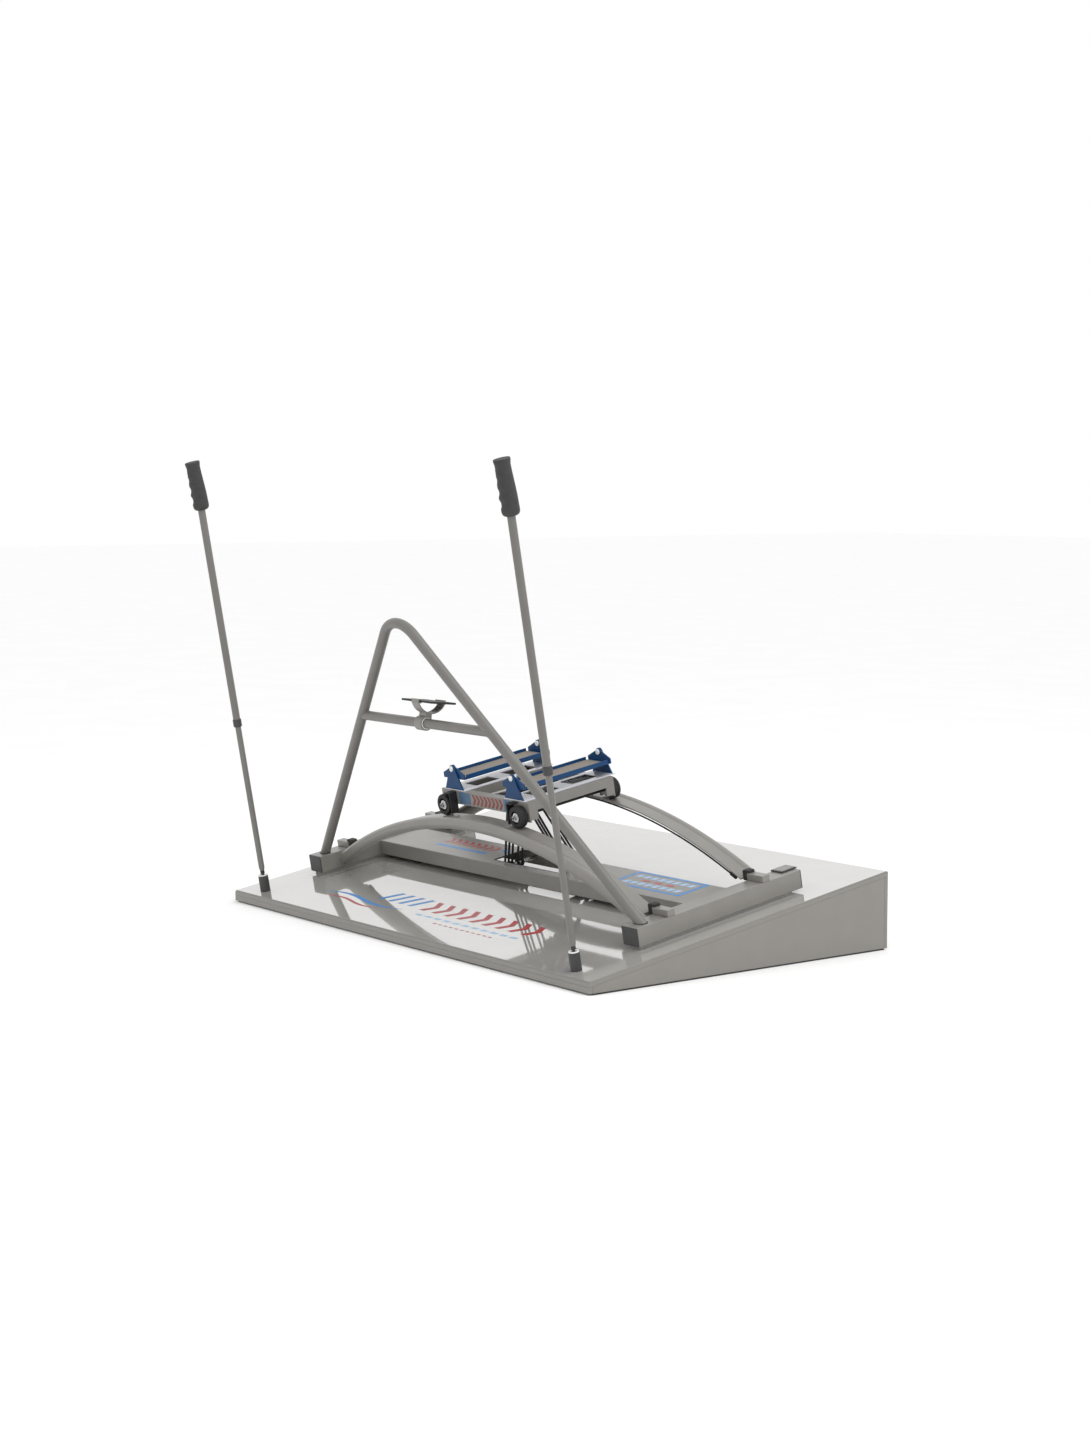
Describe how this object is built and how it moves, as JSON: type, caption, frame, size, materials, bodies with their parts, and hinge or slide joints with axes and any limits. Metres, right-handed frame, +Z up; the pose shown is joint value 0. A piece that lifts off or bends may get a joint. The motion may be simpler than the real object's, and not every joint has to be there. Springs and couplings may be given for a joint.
{
  "type": "ski simulator",
  "caption": "Downhill ski trainer: a band-sprung carriage with two tilting footplates rolls on arched tubes over a sloping deck, with an A-frame handrail and two standing poles.",
  "frame": {"origin": "on the floor at the middle of the platform's outline, on the underside of the middle floor strip", "axes": "+X to the right across the slope as seen from the low front edge, +Y towards the high rear edge, +Z up; the user stands on the footplates and faces -Y"},
  "size_m": [1.8, 1.2752, 1.3709],
  "materials": {
    "deck_gloss": "glossy off-white sheet with a lighter bevelled edge",
    "painted_board": "plywood painted satin grey",
    "joist_wood": "plain sawn softwood",
    "foot_rubber": "black rubber strip",
    "frame_grey": "satin clear-coated grey paint on steel",
    "frame_light": "white painted sheet steel",
    "pad_grey": "grey plastic pad",
    "cap_black": "dark moulded plastic",
    "buffer_rubber": "black buffer rubber",
    "band_rubber": "black elastic cord",
    "dark_steel": "black-coated steel",
    "zinc": "bright zinc plating",
    "blue_paint": "satin dark blue paint on sheet steel",
    "tread_grip": "warm grey gritty tread",
    "tyre_black": "black moulded tyre",
    "ring_white": "white plastic ring",
    "ball_steel": "turned steel",
    "grip_rubber": "dark grey ribbed rubber",
    "tip_black": "black nylon",
    "pin_white": "white-capped steel pin"
  },
  "bodies": {
    "base": {"deck_sheet": "deck_gloss", "deck_board": "painted_board", "skirts": "painted_board", "joists": "joist_wood", "floor_strips": "foot_rubber", "rails": "frame_grey", "rail_seats": "pad_grey", "rail_caps": "cap_black", "rail_pads": "pad_grey", "arch_front": "frame_grey", "arch_rear": "frame_grey", "track_strips": "frame_grey", "guide_rods": "dark_steel", "bump_blocks": "frame_grey", "buffers": "buffer_rubber", "band_box": "frame_grey", "band_rollers": "dark_steel", "bands": "band_rubber", "handrail": "frame_grey", "crossbar": "frame_grey", "pole_holders": "cap_black", "holder_rings": "ring_white"},
    "bracket": {"bracket_clamp": "frame_grey", "clamp_bolt": "zinc", "bracket_yoke": "frame_grey", "bracket_plate": "dark_steel"},
    "carriage": {"carriage_beams": "frame_grey", "carriage_channels": "frame_grey", "top_plates": "frame_light", "uprights": "blue_paint", "axles": "dark_steel", "axle_nuts": "zinc", "wheel_brackets": "dark_steel", "band_bars": "dark_steel", "pivot_pins": "pin_white"},
    "wheel_front_left": {"tyre_front_left": "tyre_black", "hub_front_left": "cap_black"},
    "wheel_front_right": {"tyre_front_right": "tyre_black", "hub_front_right": "cap_black"},
    "wheel_rear_left": {"tyre_rear_left": "tyre_black", "hub_rear_left": "cap_black"},
    "wheel_rear_right": {"tyre_rear_right": "tyre_black", "hub_rear_right": "cap_black"},
    "foot_left": {"footplate_left": "blue_paint", "tread_left": "tread_grip"},
    "foot_right": {"footplate_right": "blue_paint", "tread_right": "tread_grip"},
    "swivel_left": {"ball_left": "ball_steel"},
    "pole_low_left": {"pole_tip_left": "tip_black", "lower_tube_left": "frame_grey"},
    "pole_up_left": {"collar_left": "cap_black", "upper_tube_left": "frame_grey", "grip_left": "grip_rubber"},
    "swivel_right": {"ball_right": "ball_steel"},
    "pole_low_right": {"pole_tip_right": "tip_black", "lower_tube_right": "frame_grey"},
    "pole_up_right": {"collar_right": "cap_black", "upper_tube_right": "frame_grey", "grip_right": "grip_rubber"}
  },
  "joints": [
    {"name": "carriage_travel", "type": "hinge", "parent": "base", "child": "carriage", "pos_m": [0, 0.22501, -1.20671], "axis": [0, 0.9848, 0.1736], "range_deg": [-19.4, 19.4], "stiffness_Nm_per_rad": 1500, "deforming": ["bands"]},
    {"name": "bracket_tilt", "type": "hinge", "parent": "base", "child": "bracket", "pos_m": [-0.005, -0.42409, 0.62387], "axis": [1, 0, 0], "range_deg": [-30, 30]},
    {"name": "wheel_front_left_spin", "type": "hinge", "parent": "carriage", "child": "wheel_front_left", "pos_m": [-0.18, -0.22432, 0.3583], "axis": [0, 0.9848, 0.1736], "range_deg": [-980, 980]},
    {"name": "wheel_front_right_spin", "type": "hinge", "parent": "carriage", "child": "wheel_front_right", "pos_m": [0.18, -0.22432, 0.3583], "axis": [0, 0.9848, 0.1736], "range_deg": [-980, 980]},
    {"name": "wheel_rear_left_spin", "type": "hinge", "parent": "carriage", "child": "wheel_rear_left", "pos_m": [-0.18, 0.11199, 0.4176], "axis": [0, 0.9848, 0.1736], "range_deg": [-980, 980]},
    {"name": "wheel_rear_right_spin", "type": "hinge", "parent": "carriage", "child": "wheel_rear_right", "pos_m": [0.18, 0.11199, 0.4176], "axis": [0, 0.9848, 0.1736], "range_deg": [-980, 980]},
    {"name": "foot_left_tilt", "type": "hinge", "parent": "carriage", "child": "foot_left", "pos_m": [-0.148, -0.07469, 0.49301], "axis": [0, 0.9848, 0.1736], "range_deg": [-25, 25]},
    {"name": "foot_right_tilt", "type": "hinge", "parent": "carriage", "child": "foot_right", "pos_m": [0.148, -0.07469, 0.49301], "axis": [0, 0.9848, 0.1736], "range_deg": [-25, 25]},
    {"name": "pole_left_fore_aft", "type": "hinge", "parent": "base", "child": "swivel_left", "pos_m": [-0.789, -0.49228, 0.08124], "axis": [1, 0, 0], "range_deg": [-12, 12], "stiffness_Nm_per_rad": 80, "springref_deg": -1.36},
    {"name": "pole_left_sideways", "type": "hinge", "parent": "swivel_left", "child": "pole_low_left", "pos_m": [-0.789, -0.49228, 0.08124], "axis": [0, 0.9848, 0.1736], "range_deg": [-12, 12], "stiffness_Nm_per_rad": 80},
    {"name": "pole_left_length", "type": "slide", "parent": "pole_low_left", "child": "pole_up_left", "axis": [0, -0.1736, 0.9848], "range_m": [-0.1, 0.12]},
    {"name": "pole_right_fore_aft", "type": "hinge", "parent": "base", "child": "swivel_right", "pos_m": [0.789, -0.49228, 0.08124], "axis": [1, 0, 0], "range_deg": [-12, 12], "stiffness_Nm_per_rad": 80, "springref_deg": -1.36},
    {"name": "pole_right_sideways", "type": "hinge", "parent": "swivel_right", "child": "pole_low_right", "pos_m": [0.789, -0.49228, 0.08124], "axis": [0, 0.9848, 0.1736], "range_deg": [-12, 12], "stiffness_Nm_per_rad": 80},
    {"name": "pole_right_length", "type": "slide", "parent": "pole_low_right", "child": "pole_up_right", "axis": [0, -0.1736, 0.9848], "range_m": [-0.1, 0.12]}
  ],
  "couplings": [
    {"joint": "wheel_front_left_spin", "follows": "carriage_travel", "ratio": 49.904},
    {"joint": "wheel_front_right_spin", "follows": "carriage_travel", "ratio": 49.904},
    {"joint": "wheel_rear_left_spin", "follows": "carriage_travel", "ratio": 49.904},
    {"joint": "wheel_rear_right_spin", "follows": "carriage_travel", "ratio": 49.904}
  ]
}
